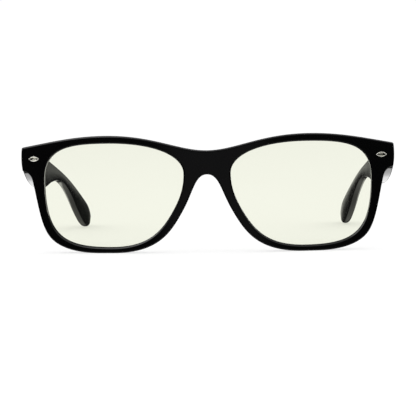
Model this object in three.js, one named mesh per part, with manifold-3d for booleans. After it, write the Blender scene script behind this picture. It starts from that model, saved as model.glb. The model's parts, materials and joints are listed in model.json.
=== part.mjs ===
// Full-rim glasses with a saddle bridge, riveted five-barrel hinges and cored temples.
// Millimetres, +Z up. The front faces -Y and the temples run towards +Y. The wearer's left is +X.
import * as THREE from "three";
import { mergeVertices } from "three/addons/utils/BufferGeometryUtils.js";
import Module from "manifold-3d";

const wasm = await Module();
wasm.setup();

// ---- Driving dimensions ----

const HALF_WIDTH = 72;
const FRONT_HEIGHT = 45;
const FRONT_THICKNESS = 4.4;
const FRONT_WRAP_RADIUS = 300;
const EDGE_CHAMFER = 0.5;

const LENS_THICKNESS = 1.8;
const LENS_RADIUS = 133;
const LENS_BULGE = 0.35;
const LENS_INSERT = 0.7;
const SEAT_GAP = 0.3;

const HINGE_X = 66;
const HINGE_Y = 15.3;
const HINGE_Z = 36.3;
const TEMPLE_TILT = THREE.MathUtils.degToRad(9.5);
const BARREL_RADIUS = 1.35;
const BARREL_HEIGHT = 1.25;
const BARREL_GAP = 0.1;
const BARREL_COUNT = 5;
const BARREL_SIDES = 20;
const LEAF_THICKNESS = 0.6;
const CLEARANCE = 0.15;
const SCREW_RADIUS = 0.72;
const BORE_RADIUS = 0.8;
const RIVET_RADIUS = 0.6;

const TEMPLE_INNER_X = BARREL_RADIUS + CLEARANCE;
const TEMPLE_THICKNESS = 4.25;
const TEMPLE_THIN = 2.7;
const TEMPLE_THIN_FROM = 60;
const TEMPLE_SPLAY = THREE.MathUtils.degToRad(4.3);
const CORE_HEIGHT = 1.8;
const CORE_THICKNESS = 1;

// Half the size of a cutting box that only has to reach past a piece.
const PAST = 20;

// The end piece's back face and the temple's end face stand square to the temple, either side of this plane.
const HINGE_SEAT = -(BARREL_RADIUS + CLEARANCE);
const LEAF_HALF_HEIGHT = (BARREL_COUNT * BARREL_HEIGHT + (BARREL_COUNT - 1) * BARREL_GAP) / 2;

const MATERIALS = {
  black: { color: 0x0b0b0d, roughness: 0.18, metalness: 0 },
  lens: { color: 0xf1f4e2, roughness: 0.03, metalness: 0, transparent: true, opacity: 0.25 },
  steel: { color: 0x9a9a9c, roughness: 0.35, metalness: 1 },
  silver: { color: 0xd8d5cc, roughness: 0.15, metalness: 1 },
};

// ---- Solids ----

const WELD = 1e-3;

function solid(geometry) {
  const bare = geometry.clone();
  bare.deleteAttribute("normal");
  bare.deleteAttribute("uv");
  const merged = mergeVertices(bare, WELD);
  return new wasm.Manifold(
    new wasm.Mesh({
      numProp: 3,
      vertProperties: merged.attributes.position.array,
      triVerts: new Uint32Array(merged.index.array),
    }),
  );
}

function geometryOf(manifold) {
  const mesh = manifold.getMesh();
  const geometry = new THREE.BufferGeometry();
  geometry.setAttribute("position", new THREE.BufferAttribute(mesh.vertProperties, 3));
  geometry.setIndex(new THREE.BufferAttribute(mesh.triVerts, 1));
  geometry.computeVertexNormals();
  return geometry;
}

function join(first, ...others) {
  return geometryOf(others.reduce((sum, other) => sum.add(solid(other)), solid(first)));
}

function cut(body, ...tools) {
  return geometryOf(tools.reduce((rest, tool) => rest.subtract(solid(tool)), solid(body)));
}

function common(first, second) {
  return geometryOf(solid(first).intersect(solid(second)));
}

function mirrored(geometry) {
  const copy = geometry.index ? geometry.toNonIndexed() : geometry.clone();
  const position = copy.attributes.position;
  for (let i = 0; i < position.count; i += 3) {
    const corners = [0, 2, 1].map((k) => new THREE.Vector3().fromBufferAttribute(position, i + k));
    corners.forEach((corner, k) => position.setXYZ(i + k, -corner.x, corner.y, corner.z));
  }
  return copy;
}

function moveVertices(geometry, move) {
  const position = geometry.attributes.position;
  const point = new THREE.Vector3();
  for (let i = 0; i < position.count; i++) {
    point.fromBufferAttribute(position, i);
    move(point);
    position.setXYZ(i, point.x, point.y, point.z);
  }
  return geometry;
}

function box(xRange, yRange, zRange) {
  const size = [xRange, yRange, zRange].map(([low, high]) => high - low);
  const centre = [xRange, yRange, zRange].map(([low, high]) => (low + high) / 2);
  return new THREE.BoxGeometry(...size).translate(...centre);
}

// A cylinder along Z between two heights.
function rod(radius, low, high, sides = BARREL_SIDES) {
  return new THREE.CylinderGeometry(radius, radius, high - low, sides)
    .rotateX(Math.PI / 2)
    .translate(0, 0, (low + high) / 2);
}

// A shape drawn in x and z becomes a plate from y = 0 back to y = thickness.
function plate(shape, thickness, chamfer, curveSegments) {
  return new THREE.ExtrudeGeometry(shape, {
    depth: thickness - 2 * chamfer,
    bevelEnabled: chamfer > 0,
    bevelThickness: chamfer,
    bevelSize: chamfer,
    bevelOffset: -chamfer,
    bevelSegments: 1,
    curveSegments,
  })
    .rotateX(Math.PI / 2)
    .translate(0, thickness - chamfer, 0);
}

// ---- Outline and wrap of the front ----

const OUTLINE_STEPS = 10;
const OPENING_STEPS = 12;
const BROW_DIP = 39;
const BRIDGE_ARCH = 29.9;
const OPENING_NOSE = 9;
const OPENING_TEMPLE = 63;
const OPENING_LOW = 2.1;
const OPENING_TOP = 42.1;

function wrapDepth(x) {
  return FRONT_WRAP_RADIUS - Math.sqrt(FRONT_WRAP_RADIUS ** 2 - x ** 2);
}

function wrap(geometry) {
  return moveVertices(geometry, (point) => (point.y += wrapDepth(point.x)));
}

// The wearer's left half, from the middle of the brow round to the middle of the bridge arch.
function halfOutline() {
  const path = new THREE.Path();
  const sideTop = 71.8;
  const sideLow = 71.65;
  // A handle this far out brings the middle of the side to the full half width.
  const side = (8 * HALF_WIDTH - sideTop - sideLow) / 6;
  path.moveTo(0, BROW_DIP);
  path.bezierCurveTo(11, BROW_DIP, 20.3, FRONT_HEIGHT, 39, FRONT_HEIGHT);
  path.bezierCurveTo(50.9, FRONT_HEIGHT, 59.3, 43.1, 71.3, 40.85);
  path.quadraticCurveTo(71.75, 40.75, sideTop, 40.2);
  path.bezierCurveTo(side, 37.6, side, 34.6, sideLow, 32.2);
  path.quadraticCurveTo(71.55, 31.6, 71.1, 31.5);
  path.bezierCurveTo(69.4, 31.1, 68.3, 30.1, 67.8, 28.4);
  path.bezierCurveTo(66, 20.8, 65.2, 13.2, 62.5, 8.1);
  path.bezierCurveTo(59.4, 2.3, 51.5, 0, 41.5, 0);
  path.lineTo(36.5, 0);
  path.bezierCurveTo(18.9, 0, 14.1, 7.8, 9.4, 16.1);
  path.bezierCurveTo(5.3, 23.3, 4.6, BRIDGE_ARCH, 0.6, BRIDGE_ARCH);
  path.lineTo(0, BRIDGE_ARCH);
  return path.getPoints(OUTLINE_STEPS);
}

// The lens opening: round the top to the nose side, down its slope to the bottom, and up the temple side.
function openingPoints() {
  const path = new THREE.Path();
  path.moveTo(38, OPENING_TOP);
  path.bezierCurveTo(20.4, OPENING_TOP, OPENING_NOSE, 37.3, OPENING_NOSE, 30.2);
  path.bezierCurveTo(OPENING_NOSE, 25.2, 10.4, 21.2, 12.7, 17);
  path.bezierCurveTo(17.8, 7.7, 23.3, OPENING_LOW, 37.3, OPENING_LOW);
  path.bezierCurveTo(56, OPENING_LOW, OPENING_TEMPLE, 6.2, OPENING_TEMPLE, 27.9);
  path.bezierCurveTo(OPENING_TEMPLE, 40.6, 53.3, OPENING_TOP, 38, OPENING_TOP);
  return path.getPoints(OPENING_STEPS).slice(0, -1);
}

function otherSide(points) {
  return points.map((point) => new THREE.Vector2(-point.x, point.y)).reverse();
}

function frontShape() {
  const half = halfOutline();
  const opening = openingPoints();
  const shape = new THREE.Shape([...half, ...otherSide(half).slice(1, -1)]);
  shape.holes.push(new THREE.Path(opening), new THREE.Path(otherSide(opening)));
  return shape;
}

const LENS_CENTRE = new THREE.Vector2(
  (OPENING_NOSE + OPENING_TEMPLE) / 2,
  (OPENING_LOW + OPENING_TOP) / 2,
);

function grownOpening(growth) {
  const points = openingPoints();
  const count = points.length;
  const grown = points.map((point, i) => {
    const tangent = points[(i + 1) % count].clone().sub(points[(i + count - 1) % count]).normalize();
    return new THREE.Vector2(point.x + growth * tangent.y, point.y - growth * tangent.x);
  });
  return new THREE.Shape(grown);
}

// ---- Lens, and the groove that takes it ----

// A round meniscus blank, cut to the opening's outline. The groove is the same body with the gap added.
const BLANK_RADIUS = 36;
const BLANK_RINGS = 5;
const BLANK_SIDES = 40;

function lensBody(gap) {
  const depth = (r) => LENS_RADIUS - Math.sqrt(LENS_RADIUS ** 2 - r ** 2);
  const radii = Array.from({ length: BLANK_RINGS + 1 }, (_, i) => (BLANK_RADIUS * i) / BLANK_RINGS);
  const front = radii.map((r) => new THREE.Vector2(r, depth(r) - gap));
  const back = radii.map((r) => new THREE.Vector2(r, depth(r) + LENS_THICKNESS + gap)).reverse();
  const tilt = Math.asin(LENS_CENTRE.x / FRONT_WRAP_RADIUS);
  const blank = new THREE.LatheGeometry([...front, ...back], BLANK_SIDES)
    .rotateZ(tilt)
    .translate(LENS_CENTRE.x, wrapDepth(LENS_CENTRE.x) - LENS_BULGE, LENS_CENTRE.y);
  const prism = plate(grownOpening(LENS_INSERT + gap), 2 * PAST, 0, 1).translate(0, -PAST, 0);
  return common(blank, prism);
}

// ---- Hinge frame: x across, y along the temple, z along the screw ----

const hingeMatrix = new THREE.Matrix4()
  .makeRotationX(-TEMPLE_TILT)
  .setPosition(HINGE_X, HINGE_Y, HINGE_Z);
const toHinge = hingeMatrix.clone().invert();

function barrelRange(index) {
  const low = -LEAF_HALF_HEIGHT + index * (BARREL_HEIGHT + BARREL_GAP);
  return [low, low + BARREL_HEIGHT];
}

// ---- Shield with its two shank pins, in its own frame: it faces -y ----

const SHIELD_CENTRE = new THREE.Vector3(66.8, 0, 36.4);
const SHIELD_WIDTH = 4.5;
const SHIELD_HEIGHT = 2.1;
const SHIELD_THICKNESS = 0.8;
const SHIELD_LIFT = 0.1;
const SHIELD_CHAMFER = 0.25;
const DISH_INSET = 0.65;
const DISH_DEPTH = 0.25;
const PIN_OFFSET = 0.9;
const PIN_LENGTH = 5.8;
const PIN_SIDES = 10;
SHIELD_CENTRE.y = wrapDepth(SHIELD_CENTRE.x) - SHIELD_LIFT;
const SHIELD_TILT = Math.asin(SHIELD_CENTRE.x / FRONT_WRAP_RADIUS);

function eyeShape(width, height) {
  const half = width / 2;
  const rise = height / 2;
  const radius = (half ** 2 + rise ** 2) / (2 * rise);
  const spread = Math.asin(half / radius);
  const shape = new THREE.Shape();
  shape.absarc(0, rise - radius, radius, Math.PI / 2 - spread, Math.PI / 2 + spread, false);
  shape.absarc(0, radius - rise, radius, 1.5 * Math.PI - spread, 1.5 * Math.PI + spread, false);
  return shape;
}

function pins(radius, length) {
  return [-PIN_OFFSET, PIN_OFFSET].map((x) =>
    rod(radius, 0, length, PIN_SIDES)
      .rotateX(-Math.PI / 2)
      .translate(x, 0, 0),
  );
}

function shield() {
  const floor = DISH_DEPTH - SHIELD_THICKNESS;
  const opening = eyeShape(SHIELD_WIDTH - 2 * DISH_INSET, SHIELD_HEIGHT - 2 * DISH_INSET);
  const dish = plate(opening, PAST, 0, 5).translate(0, floor - PAST, 0);
  const face = plate(eyeShape(SHIELD_WIDTH, SHIELD_HEIGHT), SHIELD_THICKNESS, SHIELD_CHAMFER, 6);
  const dished = cut(face.translate(0, -SHIELD_THICKNESS, 0), dish);
  return join(dished, ...pins(RIVET_RADIUS, PIN_LENGTH).map((pin) => pin.translate(0, floor / 2, 0)));
}

function pinHoles() {
  return pins(RIVET_RADIUS + CLEARANCE, PIN_LENGTH + PAST).map((hole) =>
    hole
      .translate(0, -PAST / 2, 0)
      .rotateZ(SHIELD_TILT)
      .translate(SHIELD_CENTRE.x, SHIELD_CENTRE.y, SHIELD_CENTRE.z),
  );
}

// ---- Front ----

const LEAF_INNER = -2.2;
const LEAF_OUTER = 3.2;

const LUG_START = 9.5;
const LUG_REACH = 8;

// The end piece runs back past the rim to a seat that stands square to the temple.
function endPieceLug() {
  const shape = new THREE.Shape();
  const inner = HINGE_X + LEAF_INNER - EDGE_CHAMFER;
  const outer = HALF_WIDTH - EDGE_CHAMFER;
  shape.moveTo(inner, 32.4);
  shape.lineTo(outer, 32.1);
  shape.lineTo(outer, 40.2);
  shape.lineTo(inner, 41.6);
  shape.closePath();
  const block = plate(shape, LUG_REACH, 0, 1).translate(0, LUG_START, 0);
  const behindSeat = box([-PAST, PAST], [HINGE_SEAT, PAST], [-PAST, PAST]).applyMatrix4(hingeMatrix);
  return cut(block, behindSeat);
}

function leafPocket() {
  return box(
    [LEAF_INNER - CLEARANCE, LEAF_OUTER + CLEARANCE],
    [HINGE_SEAT - LEAF_THICKNESS - CLEARANCE, 0],
    [-LEAF_HALF_HEIGHT - CLEARANCE, LEAF_HALF_HEIGHT + CLEARANCE],
  ).applyMatrix4(hingeMatrix);
}

function frameFront() {
  const blank = wrap(plate(frontShape(), FRONT_THICKNESS, EDGE_CHAMFER, 1));
  const lug = endPieceLug();
  const whole = join(blank, lug, mirrored(lug));
  const tools = [lensBody(SEAT_GAP), leafPocket(), ...pinHoles()];
  return cut(whole, ...tools, ...tools.map(mirrored));
}

// ---- Nose pad ----

const PAD_DEPTH = 4.6;
const PAD_SPLAY = 0.22;
const PAD_CHAMFER = 0.3;

function nosePad() {
  const shape = new THREE.Shape();
  shape.moveTo(6.3, 27.4);
  shape.bezierCurveTo(6.4, 23.5, 8.4, 18.6, 11.2, 13.9);
  shape.bezierCurveTo(11.7, 13.1, 12.7, 13.3, 12.5, 14.3);
  shape.bezierCurveTo(11, 18.2, 9.5, 21.5, 8.6, 27.2);
  shape.bezierCurveTo(8.2, 28.6, 6.3, 28.6, 6.3, 27.4);
  const back = FRONT_THICKNESS + CLEARANCE;
  const pad = plate(shape, PAD_DEPTH, PAD_CHAMFER, 6);
  moveVertices(pad, (point) => (point.x += PAD_SPLAY * point.y));
  return wrap(pad.translate(0, back, 0));
}

// ---- Hinge leaves, screw and rivets, in the hinge frame ----

function withBarrels(leaf, indices, webX, webY) {
  const webs = indices.map((index) => box(webX, webY, barrelRange(index)));
  const barrels = indices.map((index) => rod(BARREL_RADIUS, ...barrelRange(index)));
  const bore = rod(BORE_RADIUS, -2 * LEAF_HALF_HEIGHT, 2 * LEAF_HALF_HEIGHT);
  return cut(join(leaf, ...webs, ...barrels), bore);
}

function frontHinge() {
  const leaf = box(
    [LEAF_INNER, LEAF_OUTER],
    [HINGE_SEAT - LEAF_THICKNESS, HINGE_SEAT],
    [-LEAF_HALF_HEIGHT, LEAF_HALF_HEIGHT],
  );
  const web = BARREL_RADIUS;
  const hinge = withBarrels(leaf, [0, 2, 4], [-web, web], [HINGE_SEAT - LEAF_THICKNESS / 2, 0]);
  return cut(hinge, ...pinHoles().map((hole) => blindPinHole(hole)));
}

// The shank pins end inside the leaf, so their holes stop short of the barrels.
function blindPinHole(hole) {
  const floor = HINGE_SEAT - LEAF_THICKNESS / 4;
  return common(hole.applyMatrix4(toHinge), box([-PAST, PAST], [-PAST, floor], [-PAST, PAST]));
}

const TEMPLE_LEAF_END = 12;
const LEAF_CORNER = 1;

// Rivet places on the temple leaf, as (y, z).
const RIVETS = { upper: [6.4, 2.4], lower: [9.8, -2.4] };
const RIVET_SIDES = 12;
const RIVET_HEAD_RADIUS = 1.1;
const RIVET_CROWN_RADIUS = 0.8;
const RIVET_HEAD_HEIGHT = 0.32;
const RIVET_FACE_GAP = 0.05;

function templeHinge() {
  const radius = LEAF_CORNER;
  const height = LEAF_HALF_HEIGHT;
  const start = HINGE_SEAT + 2 * SEAT_GAP;
  const shape = new THREE.Shape();
  shape.moveTo(start, -height);
  shape.lineTo(TEMPLE_LEAF_END - radius, -height);
  shape.absarc(TEMPLE_LEAF_END - radius, radius - height, radius, -Math.PI / 2, 0, false);
  shape.absarc(TEMPLE_LEAF_END - radius, height - radius, radius, 0, Math.PI / 2, false);
  shape.lineTo(start, height);
  shape.closePath();
  // Drawn in (y, z), so the plate's x and y change places.
  const leaf = plate(shape, LEAF_THICKNESS, 0, 5).rotateZ(Math.PI / 2);
  leaf.translate(TEMPLE_INNER_X + LEAF_THICKNESS, 0, 0);
  const web = [0, TEMPLE_INNER_X + LEAF_THICKNESS / 2];
  const hinge = withBarrels(leaf, [1, 3], web, [-BARREL_RADIUS, BARREL_RADIUS]);
  return cut(hinge, ...rivetHoles());
}

function rivetHoles() {
  return Object.values(RIVETS).map(([y, z]) =>
    rod(RIVET_RADIUS + CLEARANCE, 0, PAST, RIVET_SIDES)
      .rotateY(Math.PI / 2)
      .translate(0, y, z),
  );
}

function templeRivet() {
  const start = TEMPLE_INNER_X + CLEARANCE;
  const face = TEMPLE_INNER_X + TEMPLE_THICKNESS + RIVET_FACE_GAP;
  const profile = [
    [0, start],
    [RIVET_RADIUS, start],
    [RIVET_RADIUS, face],
    [RIVET_HEAD_RADIUS, face],
    [RIVET_CROWN_RADIUS, face + (2 / 3) * RIVET_HEAD_HEIGHT],
    [0, face + RIVET_HEAD_HEIGHT],
  ];
  const points = profile.map(([r, x]) => new THREE.Vector2(r, x));
  return new THREE.LatheGeometry(points, RIVET_SIDES).rotateZ(-Math.PI / 2);
}

const HEAD_RADIUS = 1.25;
const HEAD_HEIGHT = 0.9;
const HEAD_CHAMFER = 0.2;
const SLOT_WIDTH = 0.4;
const SLOT_DEPTH = 0.4;

function hingeScrew() {
  const seat = LEAF_HALF_HEIGHT + BARREL_GAP;
  const top = seat + HEAD_HEIGHT;
  const profile = [
    [0, -LEAF_HALF_HEIGHT - HEAD_CHAMFER],
    [SCREW_RADIUS, -LEAF_HALF_HEIGHT],
    [SCREW_RADIUS, seat],
    [HEAD_RADIUS, seat],
    [HEAD_RADIUS, top - HEAD_CHAMFER],
    [HEAD_RADIUS - HEAD_CHAMFER, top],
    [0, top],
  ];
  const points = profile.map(([r, z]) => new THREE.Vector2(r, z));
  const body = new THREE.LatheGeometry(points, BARREL_SIDES).rotateX(Math.PI / 2);
  const slot = box([-PAST, PAST], [-SLOT_WIDTH / 2, SLOT_WIDTH / 2], [top - SLOT_DEPTH, top + PAST]);
  return cut(body, slot);
}

// ---- Temple and its core, in the hinge frame ----

// Edges of the temple seen from the side, as (y, z) points that pair up from the hinge to the tip.
const END_ALLOWANCE = 0.6;
const TEMPLE_START = HINGE_SEAT - END_ALLOWANCE;
const TEMPLE_TOP = [
  [TEMPLE_START, 4.2],
  [12, 3.65],
  [26, 3.1],
  [44, 2.4],
  [60, 1.7],
  [76, 0.6],
  [94, -1.2],
  [112, -3.4],
  [126, -5.5],
  [133, -8.4],
  [134.6, -11.4],
];
const TEMPLE_LOW = [
  [TEMPLE_START, -5.6],
  [7, -8.4],
  [21, -9.2],
  [37, -5.3],
  [52, -2.9],
  [66, -2.95],
  [82, -6.1],
  [98.5, -11.2],
  [115, -15.2],
  [127, -15.5],
  [134.2, -12.6],
];
const CORE_START = -0.6;
const CHANNEL_LEAD = 2.4;
const CORE_END = [108, -8.6];
const CORE_LINE = [
  [12, -0.1],
  [30, -1.6],
  [52, -0.15],
  [66, -0.4],
  [84, -3],
];

function spline(points) {
  return new THREE.SplineCurve(points.map(([y, z]) => new THREE.Vector2(y, z)));
}

function thicknessAt(y) {
  const thinned = THREE.MathUtils.smoothstep(y, TEMPLE_LEAF_END, TEMPLE_THIN_FROM);
  return THREE.MathUtils.lerp(TEMPLE_THICKNESS, TEMPLE_THIN, thinned);
}

// A rounded rectangle as points on the unit square: across from 0 to 1, up from -1 to 1.
function roundedSection(width, halfHeight, radius) {
  const corners = [
    [width - radius, halfHeight - radius, 0],
    [radius, halfHeight - radius, 1],
    [radius, radius - halfHeight, 2],
    [width - radius, radius - halfHeight, 3],
  ];
  const steps = 4;
  return corners.flatMap(([x, z, quarter]) =>
    Array.from({ length: steps }, (_, i) => {
      const angle = ((quarter + i / (steps - 1)) * Math.PI) / 2;
      return [(x + radius * Math.cos(angle)) / width, (z + radius * Math.sin(angle)) / halfHeight];
    }),
  );
}

const SECTION_POINTS = 16;
const TEMPLE_SECTIONS = 34;
const TEMPLE_CORNER = 1;
const CORNER_SHARE = 0.45;
const CORE_SECTIONS = 12;
const CORE_CORNER = 0.4;

// A capped cylinder whose rings are moved onto the sections between two edge curves.
function loftTemple(topCurve, lowCurve, sections, thickness, radius) {
  const tube = new THREE.CylinderGeometry(1, 1, 1, SECTION_POINTS, sections);
  const turn = (2 * Math.PI) / SECTION_POINTS;
  return moveVertices(tube, (point) => {
    const t = 0.5 - point.y;
    const top = topCurve.getPoint(t);
    const low = lowCurve.getPoint(t);
    const centre = top.clone().add(low).multiplyScalar(0.5);
    const half = top.clone().sub(low).multiplyScalar(0.5);
    const width = thickness(centre.x);
    const corner = Math.min(radius, CORNER_SHARE * Math.min(width, 2 * half.length()));
    const ring = roundedSection(width, half.length(), corner);
    const onAxis = Math.hypot(point.x, point.z) < 0.5;
    const index = Math.round(Math.atan2(point.x, point.z) / turn + SECTION_POINTS) % SECTION_POINTS;
    const [across, up] = onAxis ? [0.5, 0] : ring[index];
    const place = centre.add(half.multiplyScalar(up));
    point.set(templeMiddle(place.x) + (across - 0.5) * width, place.x, place.y);
  });
}

function templeMiddle(y) {
  return TEMPLE_INNER_X + thicknessAt(y) / 2;
}

// The core, or with a gap the channel that takes it, which runs on out of the temple's end face.
function coreBody(gap) {
  const start = gap > 0 ? CORE_START - CHANNEL_LEAD : CORE_START;
  const line = spline([[start, 0], ...CORE_LINE, [CORE_END[0] + gap, CORE_END[1]]]);
  const half = new THREE.Vector2(0, CORE_HEIGHT / 2 + gap);
  const top = { getPoint: (t) => line.getPoint(t).add(half) };
  const low = { getPoint: (t) => line.getPoint(t).sub(half) };
  return loftTemple(top, low, CORE_SECTIONS, () => CORE_THICKNESS + 2 * gap, CORE_CORNER);
}

function temple() {
  const top = spline(TEMPLE_TOP);
  const low = spline(TEMPLE_LOW);
  const body = loftTemple(top, low, TEMPLE_SECTIONS, thicknessAt, TEMPLE_CORNER);
  const pocket = box(
    [0, TEMPLE_INNER_X + LEAF_THICKNESS + CLEARANCE],
    [-PAST, TEMPLE_LEAF_END + CLEARANCE],
    [-LEAF_HALF_HEIGHT - CLEARANCE, LEAF_HALF_HEIGHT + CLEARANCE],
  );
  const beforeSeat = box([-PAST, PAST], [-PAST, HINGE_SEAT + SEAT_GAP], [-PAST, PAST]).rotateZ(-TEMPLE_SPLAY);
  return cut(body, pocket, coreBody(SEAT_GAP), ...rivetHoles(), beforeSeat);
}

// ---- Assembly ----

function piece(name, geometry, material) {
  const mesh = new THREE.Mesh(geometry, new THREE.MeshStandardMaterial(MATERIALS[material]));
  mesh.name = name;
  return mesh;
}

function hingeAndTemple(side) {
  const group = new THREE.Group();
  group.applyMatrix4(hingeMatrix);
  group.add(piece(`front_hinge_${side}`, frontHinge(), "steel"));
  group.add(piece(`hinge_screw_${side}`, hingeScrew(), "steel"));
  const arm = new THREE.Group();
  arm.rotation.z = TEMPLE_SPLAY;
  arm.add(piece(`temple_hinge_${side}`, templeHinge(), "steel"));
  arm.add(piece(`temple_${side}`, temple(), "black"));
  arm.add(piece(`temple_core_${side}`, coreBody(0), "steel"));
  for (const [place, [y, z]] of Object.entries(RIVETS)) {
    const rivet = piece(`temple_rivet_${place}_${side}`, templeRivet(), "silver");
    rivet.position.set(0, y, z);
    arm.add(rivet);
  }
  group.add(arm);
  return group;
}

function sideGroup(side, mirror) {
  const group = new THREE.Group();
  group.scale.x = mirror;
  group.add(piece(`lens_${side}`, lensBody(0), "lens"));
  group.add(piece(`nose_pad_${side}`, nosePad(), "black"));
  const front = piece(`shield_${side}`, shield(), "silver");
  front.position.copy(SHIELD_CENTRE);
  front.rotation.z = SHIELD_TILT;
  group.add(front);
  group.add(hingeAndTemple(side));
  return group;
}

const glasses = new THREE.Group();
glasses.add(piece("frame_front", frameFront(), "black"));
glasses.add(sideGroup("left", 1), sideGroup("right", -1));

// The origin is the middle of the bounding box in x and y, on the floor.
const bounds = new THREE.Box3().setFromObject(glasses, true);
glasses.position.y = -(bounds.min.y + bounds.max.y) / 2;

const root = new THREE.Group();
root.add(glasses);

export default root;
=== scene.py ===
"""Fine visual model of the glasses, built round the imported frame.

Lengths are millimetres in two local frames and become metres when a piece is made:
the front's frame has x = 0 in the middle, y = 0 on the foremost point of the front and z = 0 on the floor;
the hinge's frame has z along the fold axis and y backwards, square to it.
The arm's frame is the hinge's turned by the temple's splay. Floor, lights and camera are in metres.
"""
import json
import math

import bmesh
import bpy
import numpy as np
from mathutils import Matrix, Vector
from mathutils.geometry import delaunay_2d_cdt


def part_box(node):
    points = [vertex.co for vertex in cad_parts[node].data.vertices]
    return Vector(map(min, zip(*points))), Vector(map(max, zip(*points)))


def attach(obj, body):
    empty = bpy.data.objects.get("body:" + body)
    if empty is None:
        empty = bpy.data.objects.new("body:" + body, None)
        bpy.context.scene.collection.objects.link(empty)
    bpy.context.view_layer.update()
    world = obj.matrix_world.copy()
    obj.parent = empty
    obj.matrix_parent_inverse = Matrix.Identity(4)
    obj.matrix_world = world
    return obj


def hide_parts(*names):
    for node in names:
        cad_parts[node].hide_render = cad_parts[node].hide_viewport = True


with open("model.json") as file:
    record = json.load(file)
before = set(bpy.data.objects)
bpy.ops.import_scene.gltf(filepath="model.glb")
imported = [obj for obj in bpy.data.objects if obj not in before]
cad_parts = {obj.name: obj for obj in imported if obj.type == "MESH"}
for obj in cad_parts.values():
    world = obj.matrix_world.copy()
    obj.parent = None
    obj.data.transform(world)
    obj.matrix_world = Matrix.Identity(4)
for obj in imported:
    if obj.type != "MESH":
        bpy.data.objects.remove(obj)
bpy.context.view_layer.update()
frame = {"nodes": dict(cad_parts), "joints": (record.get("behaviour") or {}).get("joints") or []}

MM = 0.001
MERGE_DISTANCE = 3e-4
SIDES = ("left", "right")

# ---- Places taken from the frame ----

FRONT_LOW, FRONT_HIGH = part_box("frame_front")
LENS_LOW, LENS_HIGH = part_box("lens_left")
SHIELD_LOW, SHIELD_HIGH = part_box("shield_left")
LEAF_LOW, LEAF_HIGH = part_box("front_hinge_left")
FOLD = next(joint for joint in frame["joints"] if joint["name"] == "left_temple_fold")
PIN = Vector(FOLD["pos_m"])
MIRROR = Matrix.Scale(-1, 4, (1, 0, 0))


def in_mm(length):
    """A length of the frame in millimetres, to the nearest hundredth."""
    return round(length / MM, 2)


def hinge_place():
    along_pin = Vector(FOLD["axis"]).normalized()
    across = Vector((1, 0, 0))
    turn = Matrix((across, along_pin.cross(across), along_pin)).transposed().to_4x4()
    return Matrix.Translation(PIN) @ turn @ Matrix.Scale(MM, 4)


TEMPLE_SPLAY = math.radians(4.3)
FRONT_PLACE = Matrix.Translation((0, FRONT_LOW.y, 0)) @ Matrix.Scale(MM, 4)
HINGE_PLACE = hinge_place()
HINGE_IN_FRONT = FRONT_PLACE.inverted() @ HINGE_PLACE
ARM_PLACE = HINGE_PLACE @ Matrix.Rotation(TEMPLE_SPLAY, 4, "Z")

# ---- Sizes ----

HALF_WIDTH = in_mm(FRONT_HIGH.x)
FRONT_HEIGHT = in_mm(FRONT_HIGH.z)
FRONT_THICKNESS = 4.4
WRAP_RADIUS = 300
OUTER_ROUND = 0.6
OUTER_ROUND_DEPTH = 0.5
RIM_BEVEL = 0.5
RIM_BEVEL_DEPTH = 0.3
BACK_ROUND = 0.6
BROW_DIP = 39
BRIDGE_ARCH = 29.9

LENS_INSERT = 0.7
OPENING_NOSE = in_mm(LENS_LOW.x) + LENS_INSERT
OPENING_TEMPLE = in_mm(LENS_HIGH.x) - LENS_INSERT
OPENING_LOW = in_mm(LENS_LOW.z) + LENS_INSERT
OPENING_TOP = in_mm(LENS_HIGH.z) - LENS_INSERT
LENS_CENTRE = Vector(((OPENING_NOSE + OPENING_TEMPLE) / 2, (OPENING_LOW + OPENING_TOP) / 2))
LENS_RADIUS = 133
LENS_THICKNESS = 1.8
LENS_BULGE = 0.35
LENS_EDGE = 0.12
GROOVE_GAP = 0.06

LUG_INNER = 63.3
LUG_LOW = 32.3
LUG_HIGH = 41.4
LUG_CORNER = 0.8
LUG_SLOPE = 0.19
LUG_START = 9.6
# Sections of the lug's rounded end: how far each is drawn in, and how far it stands short of the seat.
LUG_END = ((0, 0.35), (0.1, 0.1), (0.35, 0))

BARREL_RADIUS = 1.35
BARREL_HEIGHT = 1.25
BARREL_GAP = 0.1
BARREL_COUNT = 5
LEAF_HALF_HEIGHT = (BARREL_COUNT * BARREL_HEIGHT + (BARREL_COUNT - 1) * BARREL_GAP) / 2
LEAF_THICKNESS = 0.6
LEAF_INNER = in_mm(LEAF_LOW.x - PIN.x)
LEAF_OUTER = in_mm(LEAF_HIGH.x - PIN.x)
LEAF_EDGE = 0.08
LEAF_CORNER = 0.9
TEMPLE_LEAF_START = 0.6
TEMPLE_LEAF_END = 12
WEB_REACH = BARREL_RADIUS - 0.05
WEB_ROOT = 0.6
WEB_INSET = 0.02
CLEARANCE = 0.15
HINGE_SEAT = -(BARREL_RADIUS + CLEARANCE)
TEMPLE_INNER_X = BARREL_RADIUS + CLEARANCE
BORE_RADIUS = 0.8
SCREW_RADIUS = 0.72
SLOT_WIDTH = 0.34
SLOT_DEPTH = 0.45
RIVET_RADIUS = 0.6
# Profiles of the two heads, as radius and height over the face that the head stands on.
SCREW_HEAD = ((1.2, 0), (1.25, 0.05), (1.25, 0.5), (1.19, 0.65), (1, 0.8), (0.7, 0.88), (0, 0.9))
RIVET_HEAD = ((1.1, 0), (1.08, 0.07), (0.98, 0.16), (0.8, 0.24), (0.55, 0.3), (0.28, 0.33), (0, 0.34))
RIVETS = {"upper": (6.4, 2.4), "lower": (9.8, -2.4)}

TEMPLE_THICKNESS = 4.25
TEMPLE_THIN = 2.7
TEMPLE_THIN_FROM = 60
TEMPLE_FIRST_SHARE = 0.0065
TIP_SHARE = 0.93
TIP_FROM = 120
TIP_ROUND_FROM = 131.5
TIP_END = 134.4
END_GAP = 0.3
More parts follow.
